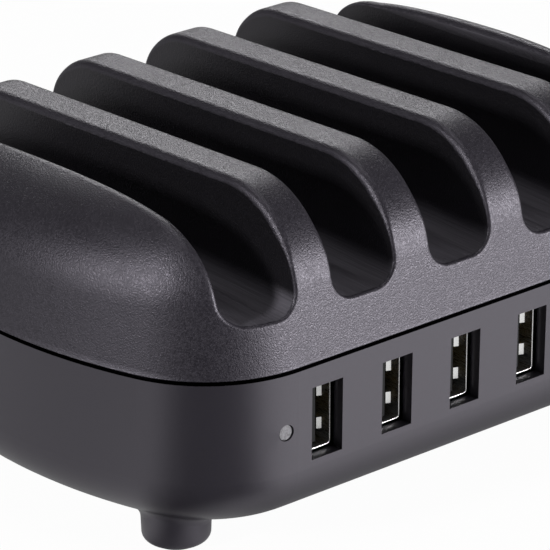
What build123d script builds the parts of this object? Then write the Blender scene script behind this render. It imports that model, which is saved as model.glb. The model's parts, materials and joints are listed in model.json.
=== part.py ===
from build123d import *
from math import atan2, degrees, radians, sqrt, tan
import os

# Desktop charging station: a slotted device rack on a base that holds the power supply.
# Millimetres, +Z up, floor at z = 0, front with the ports towards -Y, origin under the middle.

# Plan of the body at the shadow gap between rack and base
body_length = 139.4
body_depth = 105.0
corner_radius = 25.4
end_bow_radius = 97.0
wall = 2.4
shadow_gap = 0.65

# Base moulding
foot_height = 6.6
base_height = 30.2
base_draft = 0.6
base_edge_radius = 10.6
tongue_inset = 1.2
tongue_rise = 1.6
fit_clearance = 0.15

# Device rack
rack_front_height = 30.0
rack_top_fall = 3.65
wall_lean = 9.0
roll_radius = 18.5
roll_corner_share = 0.95
slot_count = 5
slot_pitch = 22.5
slot_width = 14.2
slot_draft = 0.5
slot_floor_rise = 9.6
slot_floor_radius = 4.6

# Feet and their rubber pads
foot_inset_x = 19.0
foot_inset_y = 19.9
foot_radius = 6.2
foot_taper = 2.0
foot_root_radius = 2.2
foot_edge_radius = 1.6
pad_radius = 4.4
pad_recess = 1.2
pad_proud = 0.4
pad_clearance = 0.1

# Screws that clamp the rack to the base from below
case_screw_radius = 1.5
case_screw_length = 25.0
case_screw_head_radius = 2.9
case_screw_head_height = 2.2
case_screw_cover = 4.0
screw_clearance = 0.1
boss_radius = 3.6
boss_meet_height = 13.0

# Circuit board on its posts
board_thickness = 1.6
board_boss_gap = 3.6
board_gap = 1.2
post_radius = 2.9
post_end_inset = 4.5
post_front_gap = 9.9
post_back_inset = 5.9
board_screw_radius = 1.25
board_screw_length = 7.0
board_screw_head_radius = 2.4
board_screw_head_height = 1.8
sheet_thickness = 0.4
sheet_end_gap = 1.5
sheet_margin = 3.5

# Ports: receptacles stand on edge behind plain cut-outs
port_count = 5
port_end_inset = 11.1
port_width = 7.0
port_height = 14.0
port_drop = 11.4
shell_width = 5.7
shell_height = 13.1
shell_length = 14.0
shell_sheet = 0.3
shell_corner = 0.7
shell_setback = 0.2
spring_width = 2.2
spring_spread = 3.2
spring_front = 2.0
spring_crest = 2.8
spring_back = 8.4
spring_bulge = 0.55
spring_slit = 0.35
tongue_thickness = 1.84
tongue_width = 11.1
tongue_setback = 0.8
tongue_length = 8.2
tongue_side_gap = 0.65
insulator_clearance = 0.05
contact_width = 1.0
contact_thickness = 0.25
contact_tip_gap = 0.9
contact_spacing_inner = 1.0
contact_spacing_outer = 3.5
contact_tail_gap = 1.4
contact_tail_pitch = 1.4

# Indicator light pipe
pipe_radius = 1.4
pipe_clearance = 0.15
pipe_recess = 0.5
pipe_port_spacing = 9.15
pipe_reach = 5.2
pipe_bend = 2.4
pipe_lamp_gap = 0.3
lamp_length = 2.0
lamp_width = 1.3
lamp_height = 0.9

# Mains inlet at the back
inlet_length = 21.0
inlet_height = 13.0
inlet_depth = 15.0
inlet_nose_length = 17.6
inlet_nose_height = 9.6
inlet_cavity_length = 15.6
inlet_cavity_height = 7.6
inlet_cavity_depth = 11.0
inlet_clearance = 0.15
inlet_recess = 0.4
pin_radius = 1.2
pin_spacing = 8.6
pin_length = 8.5
pin_tip = 0.6

# Transformer and mains choke
transformer_y = 3.0
core_length = 25.0
core_height = 21.0
core_thickness = 8.0
core_leg = 3.6
core_middle_leg = 7.0
core_yoke = 4.0
winding_clearance = 0.3
winding_depth = 18.0
winding_corner = 2.0
choke_end_gap = 6.7
choke_back_inset = 24.9
choke_radius = 8.0
choke_hole_radius = 3.6
choke_width = 6.0
choke_wire = 1.6
choke_wire_clearance = 0.2
choke_turn_span = 130.0

# Board components, each standing on the board, placed from the board's back edge,
# from the backs of the receptacles or from the transformer in the middle
bulk_radius = 6.5
bulk_height = 21.0
bulk_count = 2
bulk_pitch = 16.0
bulk_x = 24.0
bulk_back_inset = 38.9
output_radius = 4.0
output_height = 14.0
output_count = 3
output_pitch = 9.5
output_post_gap = 8.0
output_shell_gap = 13.9
can_edge = 0.6
can_groove_rise = 2.6
can_groove_depth = 0.5
film_length = 17.0
film_width = 7.5
film_height = 13.0
film_post_gap = 1.1
film_back_inset = 8.9
block_edge_radius = 0.8
fuse_radius = 4.2
fuse_height = 8.0
fuse_inlet_gap = 1.3
fuse_back_inset = 8.9
bridge_length = 15.0
bridge_width = 3.6
bridge_height = 11.0
bridge_fuse_gap = 1.3
bridge_back_inset = 10.9
disc_radius = 4.6
disc_thickness = 3.6
disc_edge = 1.2
varistor_x = 2.0
varistor_back_inset = 21.9
safety_disc_x = -17.5
safety_disc_y = 8.0
sink_end_gap = 3.5
secondary_sink_length = 20.0
sink_thickness = 1.5
sink_height = 20.0
sink_flange = 6.0
primary_sink_back_inset = 51.9
secondary_sink_x = 5.0
secondary_sink_shell_gap = 18.9
package_width = 10.0
package_height = 15.0
package_thickness = 4.4
package_tab_thickness = 1.3
package_tab_height = 6.0
package_lift = 2.5
package_hole_radius = 1.8
coupler_length = 6.4
coupler_width = 4.6
coupler_height = 3.4
coupler_x = -19.0
coupler_y = -5.0
chip_length = 5.0
chip_width = 4.0
chip_height = 1.6
supply_chip_end_inset = 5.5
supply_chip_sink_gap = 7.0
port_chip_shell_gap = 7.0

# Levels and places that follow from the sizes above
half_length = body_length / 2
half_depth = body_depth / 2
base_bottom = foot_height
split_level = base_bottom + base_height
base_top = split_level - shadow_gap / 2
rack_bottom = split_level + shadow_gap / 2
floor_top = base_bottom + wall
slot_floor = split_level + slot_floor_rise
boss_meet = floor_top + boss_meet_height
port_level = split_level - port_drop
board_top = port_level - shell_height / 2
board_bottom = board_top - board_thickness
board_front = -half_depth + wall + board_gap
board_back = half_depth - wall - board_gap
shell_front = -half_depth + wall + shell_setback
shell_back = shell_front + shell_length
board_length = 2 * (half_length - foot_inset_x - boss_radius - board_boss_gap)
board_end = board_length / 2
sheet_length = board_length - 2 * sheet_end_gap
sheet_depth = 2 * (half_depth - base_edge_radius - sheet_margin)
post_x = board_end - post_end_inset
post_front_y = shell_back + post_front_gap
post_back_y = board_back - post_back_inset
port_pitch = (board_length - 2 * port_end_inset) / (port_count - 1)
inner_width = shell_width - 2 * shell_sheet
inner_height = shell_height - 2 * shell_sheet
inlet_level = board_top + inlet_height / 2
foot_places = [
    (side * (half_length - foot_inset_x), end * (half_depth - foot_inset_y))
    for end in (-1, 1)
    for side in (-1, 1)
]
post_places = [(side * post_x, y) for y in (post_front_y, post_back_y) for side in (-1, 1)]
port_places = [(index - (port_count - 1) / 2) * port_pitch for index in range(port_count)]
slot_places = [(index - (slot_count - 1) / 2) * slot_pitch for index in range(slot_count)]
pipe_x = port_places[0] - pipe_port_spacing
head_seat = pad_proud + pad_recess + case_screw_cover
screw_tip = head_seat + case_screw_length
corner_left = corner_radius - rack_front_height * tan(radians(wall_lean))
edge_roll = min(roll_radius, roll_corner_share * corner_left)
lamp_y = -half_depth + pipe_recess + pipe_reach
inlet_nose_reach = wall + board_gap - inlet_recess
tongue_x = -inner_width / 2 + tongue_side_gap + tongue_thickness / 2
contact_x = tongue_x + (tongue_thickness + contact_thickness) / 2
on_floor = (Align.CENTER, Align.CENTER, Align.MIN)

# Places of the board components
choke_reach = choke_radius + choke_wire + choke_wire_clearance
choke_x = choke_reach + choke_end_gap - board_end
choke_y = board_back - choke_back_inset
film_x = film_length / 2 + film_post_gap + board_screw_head_radius - post_x
film_y = board_back - film_back_inset
fuse_x = inlet_length / 2 + fuse_inlet_gap + fuse_radius
fuse_y = board_back - fuse_back_inset
bridge_x = fuse_x + fuse_radius + bridge_fuse_gap + bridge_length / 2
bridge_y = board_back - bridge_back_inset
varistor_y = board_back - varistor_back_inset
bulk_places = [board_back - bulk_back_inset + index * bulk_pitch for index in range(bulk_count)]
primary_sink_length = board_end - core_length / 2 - 2 * sink_end_gap
primary_sink_x = (core_length / 2 + board_end) / 2
primary_sink_y = board_back - primary_sink_back_inset
secondary_sink_y = shell_back + secondary_sink_shell_gap
supply_chip_x = board_end - supply_chip_end_inset
supply_chip_y = primary_sink_y - supply_chip_sink_gap
output_start = output_post_gap - post_x
output_places = [output_start + index * output_pitch for index in range(output_count)]
output_y = shell_back + output_shell_gap
port_chip_places = (-port_pitch / 2, port_pitch / 2)
port_chip_y = shell_back + port_chip_shell_gap


def plan(inset=0.0):
    # straight long sides, bowed ends, and corners tangent to both
    corner = corner_radius - inset
    bow = end_bow_radius - inset
    corner_y = half_depth - corner_radius
    bow_x = half_length - end_bow_radius
    corner_x = bow_x + sqrt((bow - corner) ** 2 - corner_y ** 2)
    blend = degrees(atan2(corner_y, corner_x - bow_x))
    right = [
        CenterArc((corner_x, -corner_y), corner, -90, 90 - blend),
        CenterArc((bow_x, 0), bow, -blend, 2 * blend),
        CenterArc((corner_x, corner_y), corner, blend, 90 - blend),
    ]
    left = [mirror(edge, Plane.YZ) for edge in right]
    side_y = half_depth - inset
    sides = [Line((-corner_x, y), (corner_x, y)) for y in (-side_y, side_y)]
    return make_face(Wire.combine(right + left + sides)[0].edges())


def column(x, y, low, high, radius):
    return Pos(x, y, low) * Cylinder(radius, high - low, align=on_floor)


def block(x, y, low, length, width, height):
    return Pos(x, y, low) * Box(length, width, height, align=on_floor)


def rack_form(inset):
    # leaning walls under a top that falls to the back, rolled over at the edge all round
    walls = extrude(Pos(0, 0, rack_bottom) * plan(inset), 2 * rack_front_height, taper=wall_lean)
    front_corner = (0, -half_depth, split_level + rack_front_height)
    fall = Vector(0, 0, 1).rotate(Axis.X, -rack_top_fall)
    top = Plane(origin=front_corner, x_dir=(1, 0, 0), z_dir=fall)
    form = split(walls, bisect_by=top.offset(-inset), keep=Keep.BOTTOM)
    rim = form.faces().sort_by(Axis.Z)[-1].edges()
    return fillet(rim, edge_roll - inset)


def slot_form(x, growth):
    # one device slot as a long trough, open at the top, the front and the back
    floor = slot_floor - growth
    top = split_level + 2 * rack_front_height
    half_floor = slot_width / 2 + growth
    half_top = half_floor + (top - floor) * tan(radians(slot_draft))
    outline = Polyline(
        (-half_floor, floor), (half_floor, floor), (half_top, top), (-half_top, top), close=True
    )
    section = make_face(outline)
    section = fillet(section.vertices().group_by(Axis.Y)[0], slot_floor_radius + growth)
    return Pos(x, 0, 0) * extrude(Plane.XZ * section, body_depth, both=True)


def device_rack():
    skin = rack_form(0)
    hollow = rack_form(wall)
    for x in slot_places:
        skin -= slot_form(x, 0)
        hollow -= slot_form(x, wall)
    rim_step = Pos(0, 0, base_top) * plan(tongue_inset - fit_clearance)
    rack = skin - hollow - extrude(rim_step, split_level + tongue_rise - base_top)
    below = extrude(Pos(0, 0, boss_meet) * plan(wall), rack_bottom - boss_meet)
    for x, y in foot_places:
        # each boss runs up to the slot floor or the roof above it
        rack += column(x, y, boss_meet, split_level + rack_front_height, boss_radius) & (skin + below)
    for x, y in foot_places:
        rack -= column(x, y, boss_meet, screw_tip + screw_clearance, case_screw_radius + screw_clearance)
    return rack


def tub_form(inset, bottom):
    # walls drawn in a little towards the floor, with a large round edge below
    depth = base_top - bottom
    walls = extrude(Pos(0, 0, base_top) * plan(inset), depth, dir=(0, 0, -1), taper=base_draft)
    return fillet(walls.faces().sort_by(Axis.Z)[0].edges(), base_edge_radius - inset)


def foot(x, y):
    # tapered round foot with a rounded sole, tall enough to end inside the round edge of the base
    foot_top = base_bottom + base_edge_radius / 2
    root = foot_radius + (foot_top - pad_proud) * tan(radians(foot_taper))
    profile = Polyline(
        (0, pad_proud), (foot_radius, pad_proud), (root, foot_top), (0, foot_top), close=True
    )
    section = make_face(profile)
    sole = section.vertices().sort_by_distance((foot_radius, pad_proud))[0]
    section = fillet(sole, foot_edge_radius)
    return Pos(x, y, 0) * revolve(Plane.XZ * section, Axis.Z)


def footed_tub():
    # the feet flow into the round edge through a concave blend
    tub = tub_form(0, base_bottom)
    feet = [foot(x, y) for x, y in foot_places]
    body = tub
    for one_foot in feet:
        body += one_foot
    return fillet(new_edges(tub, *feet, combined=body), foot_root_radius)


def base_housing():
    base = footed_tub() - tub_form(wall, floor_top)
    tongue = plan(tongue_inset) - plan(wall)
    base += extrude(Pos(0, 0, base_top) * tongue, split_level + tongue_rise - base_top)
    for x, y in foot_places:
        base += column(x, y, base_bottom + wall / 2, boss_meet, boss_radius)
    for x, y in post_places:
        base += column(x, y, base_bottom + wall / 2, board_bottom, post_radius)
    for x, y in foot_places:
        base -= column(x, y, 0, pad_proud + pad_recess, pad_radius + pad_clearance)
        base -= column(x, y, 0, head_seat, case_screw_head_radius + screw_clearance)
        base -= column(x, y, 0, boss_meet, case_screw_radius + screw_clearance)
    for x, y in post_places:
        low = board_top - board_screw_length - screw_clearance
        base -= column(x, y, low, board_bottom, board_screw_radius + screw_clearance)
    for x in port_places:
        base -= Pos(x, -half_depth, port_level) * Box(port_width, 3 * wall, port_height)
    base -= front_bore(pipe_x, port_level, pipe_radius + pipe_clearance)
    cutout = SlotOverall(inlet_nose_length + 2 * inlet_clearance, inlet_nose_height + 2 * inlet_clearance)
    base -= Pos(0, half_depth, inlet_level) * extrude(Plane.XZ * cutout, 2 * wall, both=True)
    return base


def front_bore(x, level, radius):
    return Pos(x, -half_depth, level) * Rot(90, 0, 0) * Cylinder(radius, 3 * wall)


def foot_pad(x, y):
    return column(x, y, 0, pad_proud + pad_recess, pad_radius)


def screw(x, y, head_low, head_high, head_radius, tip, radius):
    head = column(x, y, min(head_low, head_high), max(head_low, head_high), head_radius)
    return head + column(x, y, min(head_high, tip), max(head_high, tip), radius)


def case_screws():
    low = head_seat - case_screw_head_height
    return Compound(
        [
            screw(x, y, low, head_seat, case_screw_head_radius, screw_tip, case_screw_radius)
            for x, y in foot_places
        ]
    )


def board_screws():
    high = board_top + board_screw_head_height
    tip = board_top - board_screw_length
    return Compound(
        [
            screw(x, y, high, board_top, board_screw_head_radius, tip, board_screw_radius)
            for x, y in post_places
        ]
    )


def circuit_board():
    middle = (board_front + board_back) / 2
    board = block(0, middle, board_bottom, board_length, board_back - board_front, board_thickness)
    for x, y in post_places:
        board -= column(x, y, board_bottom, board_top, board_screw_radius + screw_clearance)
    return board


def insulating_sheet():
    sheet = block(0, 0, floor_top, sheet_length, sheet_depth, sheet_thickness)
    for x, y in post_places:
        sheet -= column(x, y, floor_top, floor_top + sheet_thickness, post_radius + fit_clearance)
    return sheet


def usb_shell(x):
    outer = RectangleRounded(shell_width, shell_height, shell_corner)
    inner = RectangleRounded(inner_width, inner_height, shell_corner - shell_sheet)
    shell = extrude(Plane.XZ * (outer - inner), shell_length, dir=(0, 1, 0))
    slit_length = spring_back - spring_front
    slit_middle = (spring_back + spring_front) / 2
    slit = Box(shell_width * 2, slit_length, spring_width + 2 * spring_slit)
    face_x = shell_width / 2
    skin = [(face_x, spring_back), (face_x - spring_bulge, spring_crest), (face_x, spring_front)]
    back = [(px - shell_sheet, py) for px, py in reversed(skin)]
    spring = extrude(make_face(Polyline(skin + back, close=True)), spring_width / 2, both=True)
    for level in (-spring_spread, spring_spread):
        shell -= Pos(0, slit_middle, level) * slit
        shell += Pos(0, 0, level) * spring
        shell += Pos(0, 0, level) * mirror(spring, Plane.YZ)
    return Pos(x, shell_front, port_level) * shell


def contact_levels():
    return [-contact_spacing_outer, -contact_spacing_inner, contact_spacing_inner, contact_spacing_outer]


def usb_insulator(x):
    block_start = tongue_setback + tongue_length
    fill = RectangleRounded(
        inner_width - 2 * insulator_clearance,
        inner_height - 2 * insulator_clearance,
        shell_corner - shell_sheet,
    )
    back_block = extrude(Plane.XZ * fill, shell_length - block_start, dir=(0, 1, 0))
    back_block = Pos(0, block_start, 0) * back_block
    tongue = Pos(tongue_x, tongue_setback + tongue_length / 2, 0) * Box(
        tongue_thickness, tongue_length, tongue_width
    )
    body = back_block + tongue
    for level in contact_levels():
        body -= Pos(contact_x, (block_start + shell_length) / 2, level) * Box(
            contact_thickness, shell_length - block_start, contact_width
        )
    return Pos(x, shell_front, port_level) * body


def usb_contacts(x):
    start = tongue_setback + contact_tip_gap
    blades = []
    for index, level in enumerate(contact_levels()):
        end = shell_length + contact_tail_gap + index * contact_tail_pitch
        blade = Pos(contact_x, (start + end) / 2, level) * Box(contact_thickness, end - start, contact_width)
        drop = level + shell_height / 2
        tail_y = end - contact_width / 2
        tail = Pos(contact_x, tail_y, level - drop / 2) * Box(contact_thickness, contact_width, drop)
        blades.append(Pos(x, shell_front, port_level) * (blade + tail))
    return Compound(blades)


def light_pipe():
    start = -half_depth + pipe_recess
    low = board_top + lamp_height + pipe_lamp_gap
    path = FilletPolyline(
        (pipe_x, start, port_level),
        (pipe_x, lamp_y, port_level),
        (pipe_x, lamp_y, low),
        radius=pipe_bend,
    )
    return sweep(Plane(origin=path @ 0, z_dir=path % 0) * Circle(pipe_radius), path=path)


def indicator_lamp():
    return block(pipe_x, lamp_y, board_top, lamp_width, lamp_length, lamp_height)


def inlet_socket():
    body = block(0, board_back - inlet_depth / 2, board_top, inlet_length, inlet_depth, inlet_height)
    nose_outline = SlotOverall(inlet_nose_length, inlet_nose_height)
    nose = extrude(Plane.XZ * nose_outline, inlet_nose_reach, dir=(0, 1, 0))
    cavity = SlotOverall(inlet_cavity_length, inlet_cavity_height)
    hollow = extrude(Plane.XZ * cavity, inlet_cavity_depth, dir=(0, -1, 0))
    body += Pos(0, board_back, inlet_level) * nose
    return body - Pos(0, board_back + inlet_nose_reach, inlet_level) * hollow


def inlet_pins():
    start = board_back + inlet_nose_reach - inlet_cavity_depth
    pin = Rot(-90, 0, 0) * Cylinder(pin_radius, pin_length, align=on_floor)
    pin = chamfer(pin.edges().sort_by(Axis.Y)[-1], pin_tip)
    return Compound([Pos(side * pin_spacing / 2, start, inlet_level) * pin for side in (-1, 1)])


def transformer_core():
    core = block(0, transformer_y, board_top, core_length, core_thickness, core_height)
    window_width = (core_length - core_middle_leg) / 2 - core_leg
    window_x = (core_middle_leg + window_width) / 2
    for side in (-1, 1):
        core -= block(
            side * window_x,
            transformer_y,
            board_top + core_yoke,
            window_width,
            core_thickness,
            core_height - 2 * core_yoke,
        )
    return core


def transformer_winding():
    length = core_length - 2 * core_leg - 2 * winding_clearance
    height = core_height - 2 * core_yoke
    coil = RectangleRounded(length, winding_depth, winding_corner)
    coil -= Rectangle(core_middle_leg + 2 * winding_clearance, core_thickness + 2 * winding_clearance)
    return Pos(0, transformer_y, board_top + core_yoke) * extrude(coil, height)


def choke_core():
    ring = Circle(choke_radius) - Circle(choke_hole_radius)
    low = board_top + choke_wire + choke_wire_clearance
    return Pos(choke_x, choke_y, low) * extrude(ring, choke_width)


def choke_windings():
    # two coils, each a sleeve that follows part of the ring
    gap = choke_wire_clearance
    sleeve_width = choke_radius - choke_hole_radius
    sleeve = Rectangle(sleeve_width + 2 * (choke_wire + gap), choke_width + 2 * (choke_wire + gap))
    sleeve -= Rectangle(sleeve_width + 2 * gap, choke_width + 2 * gap)
    middle = (choke_radius + choke_hole_radius) / 2
    level = board_top + choke_wire + gap + choke_width / 2
    coil = revolve(Plane.XZ * Pos(middle, 0) * sleeve, Axis.Z, revolution_arc=choke_turn_span)
    coils = [Rot(0, 0, turn - choke_turn_span / 2) * coil for turn in (0, 180)]
    return Compound([Pos(choke_x, choke_y, level) * turn for turn in coils])


def can_capacitor(x, y, radius, height):
    can = Cylinder(radius, height, align=on_floor)
    can = chamfer(can.edges().group_by(Axis.Z)[-1], can_edge)
    notch = Pos(radius, can_groove_rise) * RegularPolygon(can_groove_depth, 4)
    groove = revolve(Plane.XZ * notch, Axis.Z)
    return Pos(x, y, board_top) * (can - groove)


def rounded_block(x, y, length, width, height):
    body = Box(length, width, height, align=on_floor)
    upper = body.edges().filter_by(Axis.Z) + body.edges().group_by(Axis.Z)[-1]
    return Pos(x, y, board_top) * fillet(upper, block_edge_radius)


def standing_disc(x, y):
    disc = Rot(90, 0, 0) * Cylinder(disc_radius, disc_thickness)
    disc = chamfer(disc.edges().filter_by(GeomType.CIRCLE), disc_edge)
    return Pos(x, y, board_top + disc_radius) * disc


def fuse():
    return column(fuse_x, fuse_y, board_top, board_top + fuse_height, fuse_radius)


def bridge_rectifier():
    body = block(bridge_x, bridge_y, board_top, bridge_length, bridge_width, bridge_height)
    corner = body.edges().filter_by(Axis.Y).group_by(Axis.Z)[-1].sort_by(Axis.X)[-1]
    return chamfer(corner, bridge_width / 2)


def heat_sink(x, y, length):
    plate = block(x, y, board_top, length, sink_thickness, sink_height)
    flange_y = y + sink_flange / 2 - sink_thickness / 2
    flange_low = board_top + sink_height - sink_thickness
    return plate + block(x, flange_y, flange_low, length, sink_flange, sink_thickness)


def power_package(x, y):
    # moulded body with a metal tab, its back flat against the heat sink
    low = board_top + package_lift
    face = y - sink_thickness / 2
    body_height = package_height - package_tab_height
    body = block(x, face - package_thickness / 2, low, package_width, package_thickness, body_height)
    tab_middle = face - package_tab_thickness / 2
    tab = block(x, tab_middle, low, package_width, package_tab_thickness, package_height)
    hole = Rot(90, 0, 0) * Cylinder(package_hole_radius, 3 * package_tab_thickness)
    return body + tab - Pos(x, tab_middle, low + package_height - package_tab_height / 2) * hole


def chip(x, y):
    return block(x, y, board_top, chip_length, chip_width, chip_height)


pieces = {
    "device_rack": device_rack(),
    "base_housing": base_housing(),
    "case_screws": case_screws(),
    "board_screws": board_screws(),
    "circuit_board": circuit_board(),
    "insulating_sheet": insulating_sheet(),
    "light_pipe": light_pipe(),
    "indicator_lamp": indicator_lamp(),
    "inlet_socket": inlet_socket(),
    "inlet_pins": inlet_pins(),
    "transformer_core": transformer_core(),
    "transformer_winding": transformer_winding(),
    "choke_core": choke_core(),
    "choke_windings": choke_windings(),
    "film_capacitor": rounded_block(film_x, film_y, film_length, film_width, film_height),
    "fuse": fuse(),
    "bridge_rectifier": bridge_rectifier(),
    "varistor": standing_disc(varistor_x, varistor_y),
    "safety_capacitor": standing_disc(safety_disc_x, safety_disc_y),
    "primary_heat_sink": heat_sink(primary_sink_x, primary_sink_y, primary_sink_length),
    "primary_switch": power_package(primary_sink_x, primary_sink_y),
    "secondary_heat_sink": heat_sink(secondary_sink_x, secondary_sink_y, secondary_sink_length),
    "output_rectifier": power_package(secondary_sink_x, secondary_sink_y),
    "optocoupler": block(coupler_x, coupler_y, board_top, coupler_length, coupler_width, coupler_height),
    "supply_chip": chip(supply_chip_x, supply_chip_y),
}
for index, (x, y) in enumerate(foot_places, 1):
    pieces[f"foot_pad_{index}"] = foot_pad(x, y)
for index, x in enumerate(port_places, 1):
    pieces[f"usb_shell_{index}"] = usb_shell(x)
    pieces[f"usb_insulator_{index}"] = usb_insulator(x)
    pieces[f"usb_contacts_{index}"] = usb_contacts(x)
for index, y in enumerate(bulk_places, 1):
    pieces[f"bulk_capacitor_{index}"] = can_capacitor(bulk_x, y, bulk_radius, bulk_height)
for index, x in enumerate(output_places, 1):
    pieces[f"output_capacitor_{index}"] = can_capacitor(x, output_y, output_radius, output_height)
for index, x in enumerate(port_chip_places, 1):
    pieces[f"port_chip_{index}"] = chip(x, port_chip_y)

os.makedirs("parts", exist_ok=True)
for name, piece in pieces.items():
    export_step(piece, f"parts/{name}.step")
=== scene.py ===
import json
import math

import bmesh
import bpy
import numpy as np
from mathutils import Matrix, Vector


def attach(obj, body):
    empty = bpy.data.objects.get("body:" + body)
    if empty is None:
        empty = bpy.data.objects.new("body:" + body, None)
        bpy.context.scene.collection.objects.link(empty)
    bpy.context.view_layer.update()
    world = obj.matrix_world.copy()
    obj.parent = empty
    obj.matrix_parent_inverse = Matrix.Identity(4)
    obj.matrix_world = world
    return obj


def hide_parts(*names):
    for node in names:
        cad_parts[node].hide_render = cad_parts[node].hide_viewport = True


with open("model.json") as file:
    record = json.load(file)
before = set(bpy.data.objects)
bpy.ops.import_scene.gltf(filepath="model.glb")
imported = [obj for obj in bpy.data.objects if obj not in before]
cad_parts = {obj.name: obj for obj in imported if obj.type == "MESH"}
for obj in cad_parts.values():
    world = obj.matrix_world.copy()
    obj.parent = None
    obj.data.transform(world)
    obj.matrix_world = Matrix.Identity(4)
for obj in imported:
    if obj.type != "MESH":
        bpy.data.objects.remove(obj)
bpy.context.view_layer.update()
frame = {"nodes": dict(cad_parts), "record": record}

mm = 0.001
scene = bpy.context.scene
nodes = frame["nodes"]
print("frame loaded:", len(nodes), "nodes")


def newMaterial(name, finish):
    mat = bpy.data.materials.new(name)
    mat.use_nodes = True
    tree = mat.node_tree
    tree.nodes.clear()
    out = tree.nodes.new("ShaderNodeOutputMaterial")
    bsdf = tree.nodes.new("ShaderNodeBsdfPrincipled")
    bsdf.inputs["Specular IOR Level"].default_value = finish.get("specular", 0.5)
    bsdf.inputs["Specular Tint"].default_value = (*finish.get("tint", (1.0, 1.0, 1.0)), 1)
    bsdf.inputs["Metallic"].default_value = finish.get("metal", 0.0)
    tree.links.new(bsdf.outputs["BSDF"], out.inputs["Surface"])
    return mat, tree, bsdf


def newGroup(name, inputs):
    # shader group with named inputs, and Height, Roughness and Color out
    group = bpy.data.node_groups.new(name, "ShaderNodeTree")
    for label, kind in inputs.items():
        group.interface.new_socket(label, in_out="INPUT", socket_type="NodeSocket" + kind)
    for label, kind in (("Height", "Float"), ("Roughness", "Float"), ("Color", "Color")):
        group.interface.new_socket(label, in_out="OUTPUT", socket_type="NodeSocket" + kind)
    return group, group.nodes.new("NodeGroupInput"), group.nodes.new("NodeGroupOutput")


def spread(tree, value, low, high):
    # stretches the part of a texture between low and high over 0 to 1
    node = tree.nodes.new("ShaderNodeMapRange")
    node.inputs["From Min"].default_value = low
    node.inputs["From Max"].default_value = high
    tree.links.new(value, node.inputs["Value"])
    return node


def toneOut(group, inn, out, value, low, high):
    # roughness and colour both follow one texture value
    rough = spread(group, value, low, high)
    group.links.new(inn.outputs["Low"], rough.inputs["To Min"])
    group.links.new(inn.outputs["High"], rough.inputs["To Max"])
    tone = group.nodes.new("ShaderNodeMix")
    tone.data_type = "RGBA"
    group.links.new(spread(group, value, low, high).outputs["Result"], tone.inputs["Factor"])
    group.links.new(inn.outputs["Dark"], tone.inputs["A"])
    group.links.new(inn.outputs["Light"], tone.inputs["B"])
    group.links.new(rough.outputs["Result"], out.inputs["Roughness"])
    group.links.new(tone.outputs["Result"], out.inputs["Color"])


def noise(group, coords, scale, detail):
    node = group.nodes.new("ShaderNodeTexNoise")
    node.inputs["Detail"].default_value = detail
    node.inputs["Roughness"].default_value = 0.6
    group.links.new(coords, node.inputs["Vector"])
    if isinstance(scale, float):
        node.inputs["Scale"].default_value = scale
    else:
        group.links.new(scale, node.inputs["Scale"])
    return node.outputs["Fac"]


def addShare(group, value, share, extra):
    node = group.nodes.new("ShaderNodeMath")
    node.operation = "MULTIPLY_ADD"
    node.inputs[1].default_value = share
    group.links.new(extra, node.inputs[0])
    group.links.new(value, node.inputs[2])
    return node.outputs[0]


toneInputs = {"Low": "Float", "High": "Float", "Dark": "Color", "Light": "Color"}


def makeSparkGrain():
    # eroded mould texture: noise at the grain size, a random tone for each grain, and a slow cloud over both
    group, inn, out = newGroup("sparkGrain", {"Coords": "Vector", "Grain": "Float", **toneInputs})
    fine = noise(group, inn.outputs["Coords"], inn.outputs["Grain"], 3.0)
    grains = group.nodes.new("ShaderNodeTexVoronoi")
    group.links.new(inn.outputs["Coords"], grains.inputs["Vector"])
    group.links.new(inn.outputs["Grain"], grains.inputs["Scale"])
    single = group.nodes.new("ShaderNodeSeparateColor")
    group.links.new(grains.outputs["Color"], single.inputs["Color"])
    both = addShare(group, fine, 0.25, noise(group, inn.outputs["Coords"], 60.0, 2.0))
    both = addShare(group, both, 0.5, single.outputs["Red"])
    group.links.new(fine, out.inputs["Height"])
    toneOut(group, inn, out, both, 0.55, 1.2)
    return group


def makeDrawnLines():
    # sheet and bar metal: noise squeezed along one direction into fine lines
    group, inn, out = newGroup("drawnLines", {"Coords": "Vector", "Lines": "Vector", **toneInputs})
    squeeze = group.nodes.new("ShaderNodeVectorMath")
    squeeze.operation = "MULTIPLY"
    group.links.new(inn.outputs["Coords"], squeeze.inputs[0])
    group.links.new(inn.outputs["Lines"], squeeze.inputs[1])
    lines = noise(group, squeeze.outputs["Vector"], 1.0, 3.0)
    group.links.new(lines, out.inputs["Height"])
    toneOut(group, inn, out, lines, 0.3, 0.7)
    return group


def makeWoundTurns():
    # turns of wire or tape: ridge = |sin(pi * coords . axis)|, roughened a little
    group, inn, out = newGroup("woundTurns", {"Coords": "Vector", "Axis": "Vector", **toneInputs})
    along = group.nodes.new("ShaderNodeVectorMath")
    along.operation = "DOT_PRODUCT"
    group.links.new(inn.outputs["Coords"], along.inputs[0])
    group.links.new(inn.outputs["Axis"], along.inputs[1])
    wave = group.nodes.new("ShaderNodeMath")
    wave.operation = "SINE"
    group.links.new(along.outputs["Value"], wave.inputs[0])
    ridge = group.nodes.new("ShaderNodeMath")
    ridge.operation = "ABSOLUTE"
    group.links.new(wave.outputs[0], ridge.inputs[0])
    both = addShare(group, ridge.outputs[0], 0.2, noise(group, inn.outputs["Coords"], 900.0, 2.0))
    group.links.new(both, out.inputs["Height"])
    toneOut(group, inn, out, both, 0.0, 1.1)
    return group


sparkGrain = makeSparkGrain()
drawnLines = makeDrawnLines()
woundTurns = makeWoundTurns()


def placePattern(tree, group, values):
    node = tree.nodes.new("ShaderNodeGroup")
    node.node_tree = group
    coords = tree.nodes.new("ShaderNodeTexCoord")
    tree.links.new(coords.outputs["Object"], node.inputs["Coords"])
    for label, value in values.items():
        node.inputs[label].default_value = (*value, 1) if label in ("Dark", "Light") else value
    return node


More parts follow.
